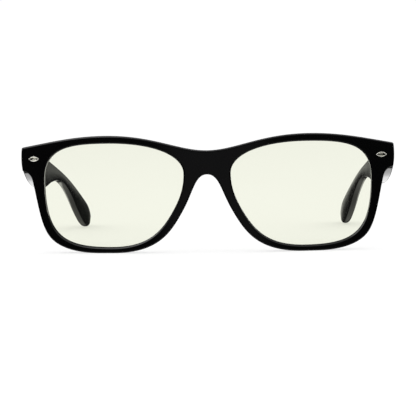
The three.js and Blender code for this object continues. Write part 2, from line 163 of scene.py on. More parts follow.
# Sections of the temple's rounded end face: how far each is drawn in, and how far behind the face it is.
END_ROUND = ((0.3, 0), (0.12, 0.05), (0.03, 0.18))
TEMPLE_CORNER = 0.7
TIP_CORNER = 1.25
CORNER_SHARE = 0.46
TEMPLE_TOP = [
    (-2.1, 4.2), (12, 3.65), (26, 3.1), (44, 2.4), (60, 1.7), (76, 0.6),
    (94, -1.2), (112, -3.4), (126, -5.5), (133, -8.4), (134.6, -11.4),
]
TEMPLE_LOW = [
    (-2.1, -5.6), (7, -8.4), (21, -9.2), (37, -5.3), (52, -2.9), (66, -2.95),
    (82, -6.1), (98.5, -11.2), (115, -15.2), (127, -15.5), (134.2, -12.6),
]

PAD_REACH = 4.6
PAD_SINK = 0.6
PAD_LEAN = 0.22
PAD_DOME_FROM = 0.45
PAD_HALF_WIDTH = 1.1
PAD_TAPER = 0.35
PAD_END_DRAW = 1.68
PAD_HEIGHTS = (0, 0.25, PAD_DOME_FROM, 0.62, 0.76, 0.87, 0.95, 0.985, 1)

SHIELD_CENTRE = Vector((66.8, in_mm(SHIELD_LOW.z + SHIELD_HIGH.z) / 2))
SHIELD_WIDTH = 4.5
SHIELD_HEIGHT = in_mm(SHIELD_HIGH.z - SHIELD_LOW.z)
SHANK_SPACING = 1.8
SHANK_LENGTH = 5.4
SHIELD_STAND_OFF = 0.1
SLIT_WIDTH = 3.3
SLIT_HEIGHT = 0.85

# ---- Meshes ----


def build_mesh(name, vertices, faces):
    mesh = bpy.data.meshes.new(name)
    mesh.from_pydata([tuple(v) for v in vertices], [], faces)
    work = bmesh.new()
    work.from_mesh(mesh)
    bmesh.ops.remove_doubles(work, verts=work.verts, dist=MERGE_DISTANCE)
    bmesh.ops.recalc_face_normals(work, faces=work.faces)
    work.to_mesh(mesh)
    work.free()
    return mesh


def loft(rings):
    """A closed body through rings of equal point count, with a flat cap on each end ring."""
    count = len(rings[0])
    vertices = [Vector(point) for ring in rings for point in ring]
    faces = [tuple(range(count)), tuple(range(len(vertices) - count, len(vertices)))]
    for k in range(len(rings) - 1):
        for i in range(count):
            a, b = k * count + i, k * count + (i + 1) % count
            faces.append((a, b, b + count, a + count))
    return build_mesh("loft", vertices, faces)


def circle(radius, height, sides):
    angles = [2 * math.pi * i / sides for i in range(sides)]
    return [Vector((radius * math.cos(a), radius * math.sin(a), height)) for a in angles]


def revolved(profile, sides=48):
    """A body of revolution round z from (radius, height) pairs; a zero radius becomes a pole."""
    return loft([circle(max(radius, 1e-4), height, sides) for radius, height in profile])


def rounded_rod(radius, low, high, round_off, sides=48):
    """A rod along z with rounded end edges."""
    inner = radius - round_off
    quarter = [math.radians(a) for a in (0, 22.5, 45, 67.5, 90)]
    profile = [(1e-4, low)]
    profile += [(inner + round_off * math.sin(a), low + round_off * (1 - math.cos(a))) for a in quarter]
    profile += [(inner + round_off * math.cos(a), high - round_off * (1 - math.sin(a))) for a in quarter]
    profile += [(1e-4, high)]
    return revolved(profile, sides)


def rounded_box(low, high, round_off, corner=0):
    """A box whose edges are rounded; the edges along x can have a wider corner radius."""
    mesh = bpy.data.meshes.new("box")
    work = bmesh.new()
    bmesh.ops.create_cube(work, size=1)
    low, high = Vector(low), Vector(high)
    for vertex in work.verts:
        vertex.co = Vector(
            (low[k] if vertex.co[k] < 0 else high[k]) for k in range(3)
        )
    if corner > round_off:
        along_x = [e for e in work.edges if abs(e.verts[0].co.x - e.verts[1].co.x) > 1e-6]
        bmesh.ops.bevel(work, geom=along_x, offset=corner, segments=8, affect="EDGES", profile=0.5)
    sharp = [e for e in work.edges if e.calc_face_angle(0) > math.radians(40)]
    bmesh.ops.bevel(work, geom=sharp, offset=round_off, segments=3, affect="EDGES", profile=0.5)
    bmesh.ops.recalc_face_normals(work, faces=work.faces)
    work.to_mesh(mesh)
    work.free()
    return mesh


def moved(mesh, matrix):
    """A transformed copy of a mesh; a mirror keeps its faces pointing out."""
    copy = mesh.copy()
    copy.transform(matrix)
    if matrix.determinant() < 0:
        copy.flip_normals()
    return copy


def combined(base, others, operation):
    """Union or difference of meshes, as one mesh."""
    target = bpy.data.objects.new("target", base)
    bpy.context.scene.collection.objects.link(target)
    tools = []
    for other in others:
        tool = bpy.data.objects.new("tool", other)
        bpy.context.scene.collection.objects.link(tool)
        modifier = target.modifiers.new("cut", "BOOLEAN")
        modifier.solver = "EXACT"
        modifier.operation = operation
        modifier.object = tool
        tools.append(tool)
    graph = bpy.context.evaluated_depsgraph_get()
    result = bpy.data.meshes.new_from_object(target.evaluated_get(graph))
    for leftover in [target, *tools]:
        bpy.data.objects.remove(leftover)
    return result


def joined(base, *others):
    return combined(base, others, "UNION")


def cut(base, *others):
    return combined(base, others, "DIFFERENCE")


def add_piece(name, mesh, place, material, body, node, crease=30):
    """Puts a mesh in the scene as a named piece that stands for a node of the frame."""
    final = moved(mesh, place)
    final.name = name
    final.materials.clear()
    final.materials.append(material)
    final.polygons.foreach_set("use_smooth", [True] * len(final.polygons))
    final.set_sharp_from_angle(angle=math.radians(crease))
    piece = bpy.data.objects.new(name, final)
    bpy.context.scene.collection.objects.link(piece)
    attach(piece, body)
    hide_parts(node)
    return piece


def side_place(place, side):
    return place if side == "left" else MIRROR @ place


# ---- Outlines of the front ----


def bezier(points, steps):
    """Points along a Bezier curve of any degree, without the last one."""
    result = []
    for i in range(steps):
        level = [Vector(p) for p in points]
        while len(level) > 1:
            level = [a.lerp(b, i / steps) for a, b in zip(level, level[1:])]
        result.append(level[0])
    return result


def outline(start, *segments, steps=60):
    points = []
    here = start
    for segment in segments:
        points += bezier([here, *segment], steps)
        here = segment[-1]
    return points + [Vector(here)]


def even_loop(points, spacing):
    """The same closed loop with points at equal distances along it."""
    loop = np.array([tuple(p) for p in points])
    loop = np.vstack([loop, loop[:1]])
    lengths = np.concatenate([[0], np.cumsum(np.linalg.norm(np.diff(loop, axis=0), axis=1))])
    stations = np.linspace(0, lengths[-1], round(lengths[-1] / spacing), endpoint=False)
    return np.column_stack([np.interp(stations, lengths, loop[:, k]) for k in range(2)])


def outer_outline():
    """The whole outer outline, from the middle of the brow round the wearer's left side and back."""
    side_top, side_low = 71.8, 71.65
    side = (8 * HALF_WIDTH - side_top - side_low) / 6
    half = outline(
        (0, BROW_DIP),
        [(11, BROW_DIP), (20.3, FRONT_HEIGHT), (39, FRONT_HEIGHT)],
        [(50.9, FRONT_HEIGHT), (59.3, 43.1), (71.3, 40.85)],
        [(71.75, 40.75), (side_top, 40.2)],
        [(side, 37.6), (side, 34.6), (side_low, 32.2)],
        [(71.55, 31.6), (71.1, 31.5)],
        [(69.4, 31.1), (68.3, 30.1), (67.8, 28.4)],
        [(66, 20.8), (65.2, 13.2), (62.5, 8.1)],
        [(59.4, 2.3), (51.5, 0), (41.5, 0)],
        [(36.5, 0)],
        [(18.9, 0), (14.1, 7.8), (9.4, 16.1)],
        [(5.3, 23.3), (4.6, BRIDGE_ARCH), (0, BRIDGE_ARCH)],
    )
    other = [Vector((-p.x, p.y)) for p in reversed(half[1:-1])]
    return half + other


def opening_outline():
    """The wearer's left lens opening."""
    return outline(
        (38, OPENING_TOP),
        [(20.4, OPENING_TOP), (OPENING_NOSE, 37.3), (OPENING_NOSE, 30.2)],
        [(OPENING_NOSE, 25.2), (10.4, 21.2), (12.7, 17)],
        [(17.8, 7.7), (23.3, OPENING_LOW), (37.3, OPENING_LOW)],
        [(56, OPENING_LOW), (OPENING_TEMPLE, 6.2), (OPENING_TEMPLE, 27.9)],
        [(OPENING_TEMPLE, 40.6), (53.3, OPENING_TOP), (38, OPENING_TOP)],
    )[:-1]


def left_normals(loop):
    tangent = np.roll(loop, -1, axis=0) - np.roll(loop, 1, axis=0)
    tangent /= np.linalg.norm(tangent, axis=1)[:, None]
    return np.column_stack([-tangent[:, 1], tangent[:, 0]])


def distance_to(loop, points):
    """Distance from each point to a closed loop."""
    start = loop
    step = np.roll(loop, -1, axis=0) - start
    best = np.full(len(points), np.inf)
    for a, d in zip(start, step):
        t = np.clip(((points - a) @ d) / (d @ d), 0, 1)
        best = np.minimum(best, np.linalg.norm(points - (a + t[:, None] * d), axis=1))
    return best


def inside(loop, points):
    """True for each point inside a closed loop."""
    result = np.zeros(len(points), bool)
    following = np.roll(loop, -1, axis=0)
    for (x0, z0), (x1, z1) in zip(loop, following):
        crosses = (points[:, 1] < z0) != (points[:, 1] < z1)
        if z1 != z0:
            reach = x0 + (points[:, 1] - z0) / (z1 - z0) * (x1 - x0)
            result ^= crosses & (points[:, 0] < reach)
    return result


def outward_normals(loop):
    """Unit normals of a closed loop, pointing away from its inside."""
    normals = left_normals(loop)
    inward = inside(loop, loop[:1] + 0.01 * normals[:1])[0]
    return -normals if inward else normals


def wrap_depth(x):
    """How far back the wrapped front's face lies at x."""
    return WRAP_RADIUS - np.sqrt(WRAP_RADIUS**2 - np.asarray(x) ** 2)


# ---- Front ----

LOOP_SPACING = 0.45
GRID_SPACING = 1.1
ROUND_SHARES = (0.02, 0.08, 0.2, 0.37, 0.6, 0.85, 1.1, 1.5)
GRID_FROM = 2.2 * OUTER_ROUND
RING_TOLERANCE = 0.01
POINT_CLEARANCE = 0.015


def quarter_round(distance, width, depth):
    """How far a rounded edge lies below the face at a distance from the outline."""
    share = np.clip(1 - distance / width, 0, 1)
    return depth * (1 - np.sqrt(1 - share**2))


def soft_bevel(distance, width, depth):
    """A straight bevel that runs into the face through a soft bend."""
    share = np.clip(1 - distance / width, 0, 1)
    bend = 0.25
    straight = np.clip(share - bend / 2, 0, 1) / (1 - bend / 2)
    curved = share**2 / (2 * bend) / (1 - bend / 2)
    return depth * np.where(share < bend, curved, straight)


def flat_points(outer, openings):
    """Loop points first, then rings near each edge and a grid over the rest, all inside the rims."""
    loops = [outer, *openings]
    rings = []
    for k, loop in enumerate(loops):
        width = OUTER_ROUND if k == 0 else RIM_BEVEL
        for share in ROUND_SHARES:
            normals = left_normals(loop)
            for sign in (-1, 1):
                ring = loop + sign * share * width * normals
                keep = distance_to(loop, ring) > share * width - RING_TOLERANCE
                rings.append(ring[keep])
    xs = np.arange(-HALF_WIDTH, HALF_WIDTH, GRID_SPACING) + GRID_SPACING / 2
    zs = np.arange(0, FRONT_HEIGHT, GRID_SPACING)
    grid = np.array([(x, z) for x in xs for z in zs])
    far = np.min([distance_to(loop, grid) for loop in loops], axis=0) > GRID_FROM
    spread = np.vstack([*rings, grid[far]])
    within = inside(outer, spread)
    for loop in openings:
        within &= ~inside(loop, spread)
    clear = np.min([distance_to(loop, spread) for loop in loops], axis=0) > POINT_CLEARANCE
    return np.vstack([*loops, spread[within & clear]])


def flat_triangles(points, loops):
    """Triangles between the outer loop and the openings."""
    edges = []
    start = 0
    for loop in loops:
        count = len(loop)
        edges += [(start + i, start + (i + 1) % count) for i in range(count)]
        start += count
    flat = [Vector(p) for p in points]
    result = delaunay_2d_cdt(flat, edges, [], 0, 1e-7)
    places = np.array([tuple(p) for p in result[0]])
    triangles = [tuple(t) for t in result[2]]
    centres = np.array([places[list(t)].mean(axis=0) for t in triangles])
    within = inside(loops[0], centres)
    for loop in loops[1:]:
        within &= ~inside(loop, centres)
    return places, [t for t, keep in zip(triangles, within) if keep]


def lens_face(x, z, shift):
    """Depth of the lens's spherical face, moved back along its axis by shift."""
    tilt = math.asin(LENS_CENTRE.x / WRAP_RADIUS)
    apex = float(wrap_depth(LENS_CENTRE.x)) - LENS_BULGE
    middle_x = LENS_CENTRE.x - (LENS_RADIUS + shift) * math.sin(tilt)
    middle_y = apex + (LENS_RADIUS + shift) * math.cos(tilt)
    square = LENS_RADIUS**2 - (x - middle_x) ** 2 - (z - LENS_CENTRE.y) ** 2
    return middle_y - math.sqrt(square)


def front_depths(places, outer, openings):
    """Depths of the front and the back face at each place."""
    to_outer = distance_to(outer, places)
    to_opening = np.min([distance_to(loop, places) for loop in openings], axis=0)
    wrap = wrap_depth(places[:, 0])
    face = np.maximum(
        quarter_round(to_outer, OUTER_ROUND, OUTER_ROUND_DEPTH),
        soft_bevel(to_opening, RIM_BEVEL, RIM_BEVEL_DEPTH),
    )
    back = quarter_round(np.minimum(to_outer, to_opening), BACK_ROUND, BACK_ROUND)
    return wrap + face, wrap + FRONT_THICKNESS - back


def groove_wall(point, normal, front_y, back_y):
    """One column of the opening's wall, from the front edge through the lens groove to the back edge."""
    x, z = point
    deep = Vector((x, z)) + (LENS_INSERT + GROOVE_GAP) * Vector(normal)
    near = lens_face(abs(x), z, -GROOVE_GAP)
    far = lens_face(abs(x), z, LENS_THICKNESS + GROOVE_GAP)
    near_deep = lens_face(abs(deep.x), deep.y, -GROOVE_GAP)
    far_deep = lens_face(abs(deep.x), deep.y, LENS_THICKNESS + GROOVE_GAP)
    return [
        (x, front_y, z), (x, near, z), (deep.x, near_deep, deep.y),
        (deep.x, far_deep, deep.y), (x, far, z), (x, back_y, z),
    ]


def plain_wall(point, front_y, back_y):
    """One column of the outer wall, in four equal steps."""
    x, z = point
    return [(x, front_y + (back_y - front_y) * k / 4, z) for k in range(5)]


def rim_plate():
    """The wrapped plate with both openings, rounded edges and lens grooves."""
    outer = even_loop(outer_outline(), LOOP_SPACING)
    opening = even_loop(opening_outline(), LOOP_SPACING)
    other = opening[::-1] * (-1, 1)
    loops = [outer, opening, other]
    places, triangles = flat_triangles(flat_points(outer, loops[1:]), loops)
    front, back = front_depths(places, outer, loops[1:])
    vertices = [(x, y, z) for (x, z), y in zip(places, front)]
    vertices += [(x, y, z) for (x, z), y in zip(places, back)]
    faces = triangles + [tuple(i + len(places) for i in reversed(t)) for t in triangles]
    start = 0
    for k, loop in enumerate(loops):
        outward = outward_normals(loop)
        columns = []
        for i, point in enumerate(loop):
            edges = front[start + i], back[start + i]
            if k == 0:
                columns.append(plain_wall(point, *edges))
            else:
                columns.append(groove_wall(point, outward[i], *edges))
        add_wall(vertices, faces, columns)
        start += len(loop)
    return build_mesh("rim_plate", vertices, faces)


def add_wall(vertices, faces, columns):
    """Adds the faces between neighbouring columns, all the way round."""
    base = len(vertices)
    rows = len(columns[0])
    for column in columns:
        vertices += column
    for i in range(len(columns)):
        a, b = base + i * rows, base + (i + 1) % len(columns) * rows
        faces += [(a + k, b + k, b + k + 1, a + k + 1) for k in range(rows - 1)]


def rounded_rectangle(low, high, radius, steps=6):
    """Corner arcs joined by straight sides, as 2D points."""
    centres = [
        (high[0] - radius, high[1] - radius, 0), (low[0] + radius, high[1] - radius, 1),
        (low[0] + radius, low[1] + radius, 2), (high[0] - radius, low[1] + radius, 3),
    ]
    points = []
    for x, z, quarter in centres:
        for i in range(steps + 1):
            angle = (quarter + i / steps) * math.pi / 2
            points.append((x + radius * math.cos(angle), z + radius * math.sin(angle)))
    return points


def seat_depth(x, z, offset):
    """Front-frame y of the plane that stands square to the hinge's y axis, at offset along it."""
    origin = HINGE_IN_FRONT @ Vector((0, 0, 0))
    normal = (HINGE_IN_FRONT.to_3x3() @ Vector((0, 1, 0))).normalized()
    return origin.y + (offset - normal.z * (z - origin.z)) / normal.y


def end_piece_lug():
    """The block behind the end piece that carries the front hinge leaf; its top follows the brow down."""
    rings = []
    for inset, short in ((0, None), *LUG_END):
        low = (LUG_INNER + inset, LUG_LOW + inset)
        high = (HALF_WIDTH - OUTER_ROUND - inset, LUG_HIGH - inset)
        ring = []
        for x, z in rounded_rectangle(low, high, LUG_CORNER + inset):
            drop = LUG_SLOPE * max(0, x - LUG_INNER) * (z - LUG_LOW) / (LUG_HIGH - LUG_LOW)
            depth = LUG_START if short is None else seat_depth(x, z - drop, HINGE_SEAT - short)
            ring.append((x, depth, z - drop))
        rings.append(ring)
    return loft(rings)


def leaf_pocket():
    """A cutter for the front leaf's seat, open towards the temple."""
    gap = CLEARANCE / 2
    box = rounded_box(
        (LEAF_INNER - gap, HINGE_SEAT - LEAF_THICKNESS - gap, -LEAF_HALF_HEIGHT - gap),
        (LEAF_OUTER + gap, 1, LEAF_HALF_HEIGHT + gap),
        0.1,
    )
    return moved(box, HINGE_IN_FRONT)


def front_shell():
    """The rims and bridge with a lug at each end, where the hinge leaf is let in."""
    lug = end_piece_lug()
    pocket = leaf_pocket()
    whole = joined(rim_plate(), lug, moved(lug, MIRROR))
    return cut(whole, pocket, moved(pocket, MIRROR))


# ---- Lens ----


def lens_blank():
    """A spherical meniscus cut to the opening, with a narrow bevel round its edge."""
    loop = even_loop(opening_outline(), 0.7)
    outward = outward_normals(loop)
    centre = np.array(LENS_CENTRE)
    rim = loop + (LENS_INSERT - LENS_EDGE) * outward
    edge = loop + LENS_INSERT * outward
    rings = []
    shares = [0.02, *np.linspace(0.08, 0.96, 16), 1]
    for share in shares:
        ring = centre + (rim - centre) * share
        rings.append([(x, lens_face(x, z, 0), z) for x, z in ring])
    rings.append([(x, lens_face(x, z, LENS_EDGE), z) for x, z in edge])
    rings.append([(x, lens_face(x, z, LENS_THICKNESS - LENS_EDGE), z) for x, z in edge])
    for share in reversed(shares):
        ring = centre + (rim - centre) * share
        rings.append([(x, lens_face(x, z, LENS_THICKNESS), z) for x, z in ring])
    return loft(rings)


# ---- Nose pad ----


def nose_pad():
    """A slender pad that grows from the back of the rim and leans outwards, with a domed edge."""
    spine = outline((7.5, 27.6), [(7.7, 23), (9.8, 18.2), (11.9, 13.9)], steps=24)
    return loft([pad_section(spine, height) for height in PAD_HEIGHTS])


def pad_section(spine, height):
    """The pad's outline at a share of its height: down one side of the spine and up the other."""
    up_dome = max(0, height - PAD_DOME_FROM) / (1 - PAD_DOME_FROM)
    width = max(math.sqrt(max(0, 1 - up_dome**2)), 0.06)
    y = FRONT_THICKNESS - PAD_SINK + (PAD_REACH + PAD_SINK) * height
    shift = PAD_LEAN * max(0, y - FRONT_THICKNESS)
    last = len(spine) - 1
    left, right = [], []
    for i, point in enumerate(spine):
        along = i / last
        tangent = (spine[min(i + 1, last)] - spine[max(i - 1, 0)]).normalized()
        normal = Vector((-tangent.y, tangent.x))
        ends = math.sqrt(max(0, 1 - (2 * along - 1) ** 8))
        half = (PAD_HALF_WIDTH - PAD_TAPER * along) * width * max(ends, 0.05)
        middle = point + tangent * (1 - width) * PAD_END_DRAW * (0.5 - along)
        for row, sign in ((left, 1), (right, -1)):
            place = middle + sign * half * normal
            x = place.x + shift
            row.append((x, y + float(wrap_depth(x)), place.y))
    return left + right[::-1]


# ---- Shield ----


def eye_outline(length, height, count=64):
    """An eye shape from two arcs, as points round it."""
    half, rise = length / 2, height / 2
    radius = (half**2 + rise**2) / (2 * rise)
    spread = math.asin(half / radius)
    points = []
    for sign in (1, -1):
        for i in range(count // 2):
            angle = spread * (1 - 4 * i / count)
            x = radius * math.sin(angle)
            z = radius * math.cos(angle) - radius + rise
            points.append((sign * x, sign * z))
    return points


def shield_profile():
    """Rings of the shield as (share of the way from its edge to the slit's, depth)."""
    crown = [math.radians(a) for a in range(0, 181, 15)]
    profile = [(0.04, 0.3), (0, 0.1), (0, -0.25)]
    profile += [(0.45 - 0.45 * math.cos(a), -0.25 - 0.55 * math.sin(a)) for a in crown]
    return profile + [(0.97, -0.1), (1.1, 0.02), (1.3, 0.06)]


def shield():
    """A polished bead round a sunken slit, with two shank pins behind it."""
    rings = []
    for share, depth in shield_profile():
        length = SHIELD_WIDTH + share * (SLIT_WIDTH - SHIELD_WIDTH)
        height = SHIELD_HEIGHT + share * (SLIT_HEIGHT - SHIELD_HEIGHT)
        rings.append([(x, depth, z) for x, z in eye_outline(length, height)])
    quarter = Matrix.Rotation(-math.pi / 2, 4, "X")
    shanks = []
    for x in (-SHANK_SPACING / 2, SHANK_SPACING / 2):
        shank = rounded_rod(RIVET_RADIUS, 0.1, SHANK_LENGTH, 0.1, 24)
        shanks.append(moved(shank, Matrix.Translation((x, 0, 0)) @ quarter))
    return joined(loft(rings), *shanks)


def shield_place():
    tilt = math.asin(SHIELD_CENTRE.x / WRAP_RADIUS)
    depth = float(wrap_depth(SHIELD_CENTRE.x)) - SHIELD_STAND_OFF
    centre = Matrix.Translation((SHIELD_CENTRE.x, depth, SHIELD_CENTRE.y))
    return FRONT_PLACE @ centre @ Matrix.Rotation(tilt, 4, "Z")


# ---- Hinge, screw and rivets ----


def barrel_range(index):
    low = -LEAF_HALF_HEIGHT + index * (BARREL_HEIGHT + BARREL_GAP)
    return low, low + BARREL_HEIGHT


def with_barrels(leaf, indices, web_low, web_high):
    """Adds bored barrels and the webs that tie them to the leaf."""
    parts = []
    for index in indices:
        low, high = barrel_range(index)
        parts.append(rounded_box((*web_low, low + WEB_INSET), (*web_high, high - WEB_INSET), 0.04))
        parts.append(rounded_rod(BARREL_RADIUS, low, high, LEAF_EDGE))
    bore = rounded_rod(BORE_RADIUS, -2 * LEAF_HALF_HEIGHT, 2 * LEAF_HALF_HEIGHT, 0.05, 32)
    return cut(joined(leaf, *parts), bore)


def front_leaf():
    low = (LEAF_INNER, HINGE_SEAT - LEAF_THICKNESS, -LEAF_HALF_HEIGHT)
    high = (LEAF_OUTER, HINGE_SEAT, LEAF_HALF_HEIGHT)
    leaf = rounded_box(low, high, LEAF_EDGE)
    in_leaf = HINGE_SEAT - LEAF_THICKNESS / 2
    return with_barrels(leaf, (0, 2, 4), (-WEB_REACH, in_leaf), (WEB_REACH, -WEB_ROOT))


def temple_leaf():
    low = (TEMPLE_INNER_X, HINGE_SEAT + TEMPLE_LEAF_START, -LEAF_HALF_HEIGHT)
    high = (TEMPLE_INNER_X + LEAF_THICKNESS, TEMPLE_LEAF_END, LEAF_HALF_HEIGHT)
    leaf = rounded_box(low, high, LEAF_EDGE, LEAF_CORNER)
    in_leaf = TEMPLE_INNER_X + LEAF_THICKNESS / 2
    return with_barrels(leaf, (1, 3), (WEB_ROOT, -WEB_REACH), (in_leaf, WEB_REACH))


def hinge_screw():
    """A rod through the barrels with a domed, slotted head above them."""
    low = -LEAF_HALF_HEIGHT
    seat = LEAF_HALF_HEIGHT + BARREL_GAP
    profile = [(0, low - 0.2), (SCREW_RADIUS - 0.15, low - 0.18), (SCREW_RADIUS, low), (SCREW_RADIUS, seat)]
    profile += [(radius, seat + height) for radius, height in SCREW_HEAD]
    top = profile[-1][1]
    half_slot = SLOT_WIDTH / 2
    slot = rounded_box((-2, -half_slot, top - SLOT_DEPTH), (2, half_slot, top + 1), 0.02)
    return cut(revolved(profile), slot)


def temple_rivet():
    """A pin from inside the leaf through the temple, with a domed head on the outer face."""
    start = TEMPLE_INNER_X + 0.1
    face = TEMPLE_INNER_X + TEMPLE_THICKNESS + 0.03
    profile = [(0, start), (RIVET_RADIUS, start), (RIVET_RADIUS, face)]
    profile += [(radius, face + height) for radius, height in RIVET_HEAD]
    return moved(revolved(profile), Matrix.Rotation(math.pi / 2, 4, "Y"))


# ---- Temple ----


def spline_point(points, t):
    """Point at share t along a smooth curve through the points."""
    span = t * (len(points) - 1)
    i = min(int(span), len(points) - 2)
    w = span - i
    before, a, b, after = (Vector(points[max(0, min(k, len(points) - 1))]) for k in range(i - 1, i + 3))
    slope_a, slope_b = (b - before) / 2, (after - a) / 2
    cubic = (2 * a - 2 * b + slope_a + slope_b) * w**3
    square = (3 * b - 3 * a - 2 * slope_a - slope_b) * w**2
    return cubic + square + slope_a * w + a


def thickness_at(y):
    """The temple is thick over the hinge leaf and thins towards its middle."""
    t = max(0, min(1, (y - TEMPLE_LEAF_END) / (TEMPLE_THIN_FROM - TEMPLE_LEAF_END)))
    return TEMPLE_THICKNESS + (TEMPLE_THIN - TEMPLE_THICKNESS) * t * t * (3 - 2 * t)


def corner_at(y):
    """Edges are crisp at the hinge and soft at the tip."""
    t = max(0, min(1, (y - TEMPLE_THIN_FROM) / (TIP_FROM - TEMPLE_THIN_FROM)))
    return TEMPLE_CORNER + (TIP_CORNER - TEMPLE_CORNER) * t


def temple_section(width, half_height, corner):
    """A rounded rectangle about the middle, as points of equal count for every size."""
    radius = min(corner, CORNER_SHARE * width, CORNER_SHARE * 2 * half_height)
    return rounded_rectangle((-width / 2, -half_height), (width / 2, half_height), radius, 8)


def temple_shares():
    """Where the sections stand, as shares of the way along the edges: close together at both ends."""
    start = [TEMPLE_FIRST_SHARE + step for step in (0, 0.001, 0.0035, 0.008)]
    middle = np.linspace(0.02, TIP_SHARE, 110)
    tip = [1 - (1 - TIP_SHARE) * math.cos(a) for a in np.linspace(0.1, math.pi / 2, 22)]
    return [*start, *middle, *tip]


def width_left(y):
    """The share of its width that a section keeps where the tip rounds off."""
    past = max(0, (y - TIP_ROUND_FROM) / (TIP_END - TIP_ROUND_FROM))
    return math.sqrt(1 - min(past, 0.985) ** 2.5)


def temple_body():
    """Sections between the top and low edges, from the mitred end face to the rounded tip."""
    rings = []
    for k, share in enumerate(temple_shares()):
        top, low = spline_point(TEMPLE_TOP, share), spline_point(TEMPLE_LOW, share)
        centre, half = (top + low) / 2, (top - low) / 2
        width = thickness_at(centre.x)
        middle = TEMPLE_INNER_X + width / 2
        inset, behind = END_ROUND[k] if k < len(END_ROUND) else (0, None)
        across = width * width_left(centre.x) - 2 * inset
        ring = []
        for side, up in temple_section(across, half.length - inset, corner_at(centre.x)):
            x = middle + side
            place = centre + half * (up / half.length)
            y = place.x if behind is None else HINGE_SEAT + END_GAP + behind - x * math.tan(TEMPLE_SPLAY)
            ring.append((x, y, place.y))
        rings.append(ring)
    return loft(rings)


def temple():
    """The temple with its leaf's slot, which is open at the end and on the inner side."""
    gap = CLEARANCE / 2
    pocket = rounded_box(
        (-1, HINGE_SEAT - 1.5, -LEAF_HALF_HEIGHT - gap),
        (TEMPLE_INNER_X + LEAF_THICKNESS + gap, TEMPLE_LEAF_END + gap, LEAF_HALF_HEIGHT + gap),
        0.05,
        LEAF_CORNER,
    )
    return cut(temple_body(), pocket)


# ---- Materials ----


class Tree:
    """Short calls for building a node tree."""

    def __init__(self, tree):
        self.tree = tree

    def add(self, kind, **values):
        node = self.tree.nodes.new(kind)
        for key, value in values.items():
            if key in node.inputs:
                node.inputs[key].default_value = value
            else:
                setattr(node, key, value)
        return node

    def link(self, source, target):
        self.tree.links.new(source, target)

    def ramp(self, source, first, last, start=0.3, end=0.7, curve="LINEAR"):
        """First while the source is below start, last above end, and between them on the way."""
        node = self.add("ShaderNodeMapRange", interpolation_type=curve)
        node.inputs["From Min"].default_value = start
        node.inputs["From Max"].default_value = end
        node.inputs["To Min"].default_value = first
        node.inputs["To Max"].default_value = last
        self.link(source, node.inputs["Value"])
        return node.outputs["Result"]

    def combine(self, operation, first, *others):
        """Multiplies or adds any number of values."""
        result = first
        for other in others:
            node = self.add("ShaderNodeMath", operation=operation)
            self.link(result, node.inputs[0])
            self.link(other, node.inputs[1])
            result = node.outputs["Value"]
        return result

    def product(self, *values):
        return self.combine("MULTIPLY", *values)

    def total(self, *values):
        return self.combine("ADD", *values)

    def size_of(self, source):
        node = self.add("ShaderNodeMath", operation="ABSOLUTE")
        self.link(source, node.inputs[0])
        return node.outputs["Value"]

    def axes(self, source):
        node = self.add("ShaderNodeSeparateXYZ")
        self.link(source, node.inputs["Vector"])
        return node.outputs


class Nodes(Tree):
    """A new material with its node tree."""

    def __init__(self, name):
        self.material = bpy.data.materials.new(name)
        self.material.use_nodes = True
        super().__init__(self.material.node_tree)
        self.surface = self.tree.nodes["Principled BSDF"]
        self.output = self.tree.nodes["Material Output"]

    def noise(self, scale, detail=3.0, stretch=(1, 1, 1)):
        place = self.add("ShaderNodeTexCoord")
        mapping = self.add("ShaderNodeMapping")
        mapping.inputs["Scale"].default_value = stretch
        texture = self.add("ShaderNodeTexNoise")
        texture.inputs["Scale"].default_value = scale
        texture.inputs["Detail"].default_value = detail
        self.link(place.outputs["Object"], mapping.inputs["Vector"])
        self.link(mapping.outputs["Vector"], texture.inputs["Vector"])
        return texture.outputs["Fac"]

    def blend_colour(self, factor, first, second):
        node = self.add("ShaderNodeMix", data_type="RGBA")
        for socket in node.inputs:
            if socket.name == "A" and socket.type == "RGBA":
                socket.default_value = (*first, 1)
            if socket.name == "B" and socket.type == "RGBA":
                socket.default_value = (*second, 1)
        self.link(factor, node.inputs["Factor"])
        return next(s for s in node.outputs if s.type == "RGBA")

    def bump(self, height, strength, distance):
        node = self.add("ShaderNodeBump")
        node.inputs["Strength"].default_value = strength
        node.inputs["Distance"].default_value = distance
        self.link(height, node.inputs["Height"])
        return node.outputs["Normal"]


def black_plastic(name, roughness, ripple):
    nodes = Nodes(name)
    tone = nodes.blend_colour(nodes.noise(60), (0.0006, 0.0006, 0.0007), (0.0013, 0.0013, 0.0015))
    nodes.link(tone, nodes.surface.inputs["Base Color"])
    handling = nodes.noise(220, 6)
    nodes.link(nodes.ramp(handling, roughness, roughness * 1.7), nodes.surface.inputs["Roughness"])
    nodes.surface.inputs["IOR"].default_value = 1.48
    nodes.link(nodes.bump(nodes.noise(900, 2), ripple, 0.00002), nodes.surface.inputs["Normal"])
    return nodes.material


def brushed_metal(name, colour, roughness, stretch):
    nodes = Nodes(name)
    grain = nodes.noise(1500, 4, stretch)
    darker = tuple(0.72 * c for c in colour)
    nodes.link(nodes.blend_colour(grain, darker, colour), nodes.surface.inputs["Base Color"])
    nodes.surface.inputs["Metallic"].default_value = 1
    nodes.link(nodes.ramp(grain, roughness, roughness * 1.6), nodes.surface.inputs["Roughness"])
    nodes.link(nodes.bump(grain, 0.25, 0.00003), nodes.surface.inputs["Normal"])
    return nodes.material


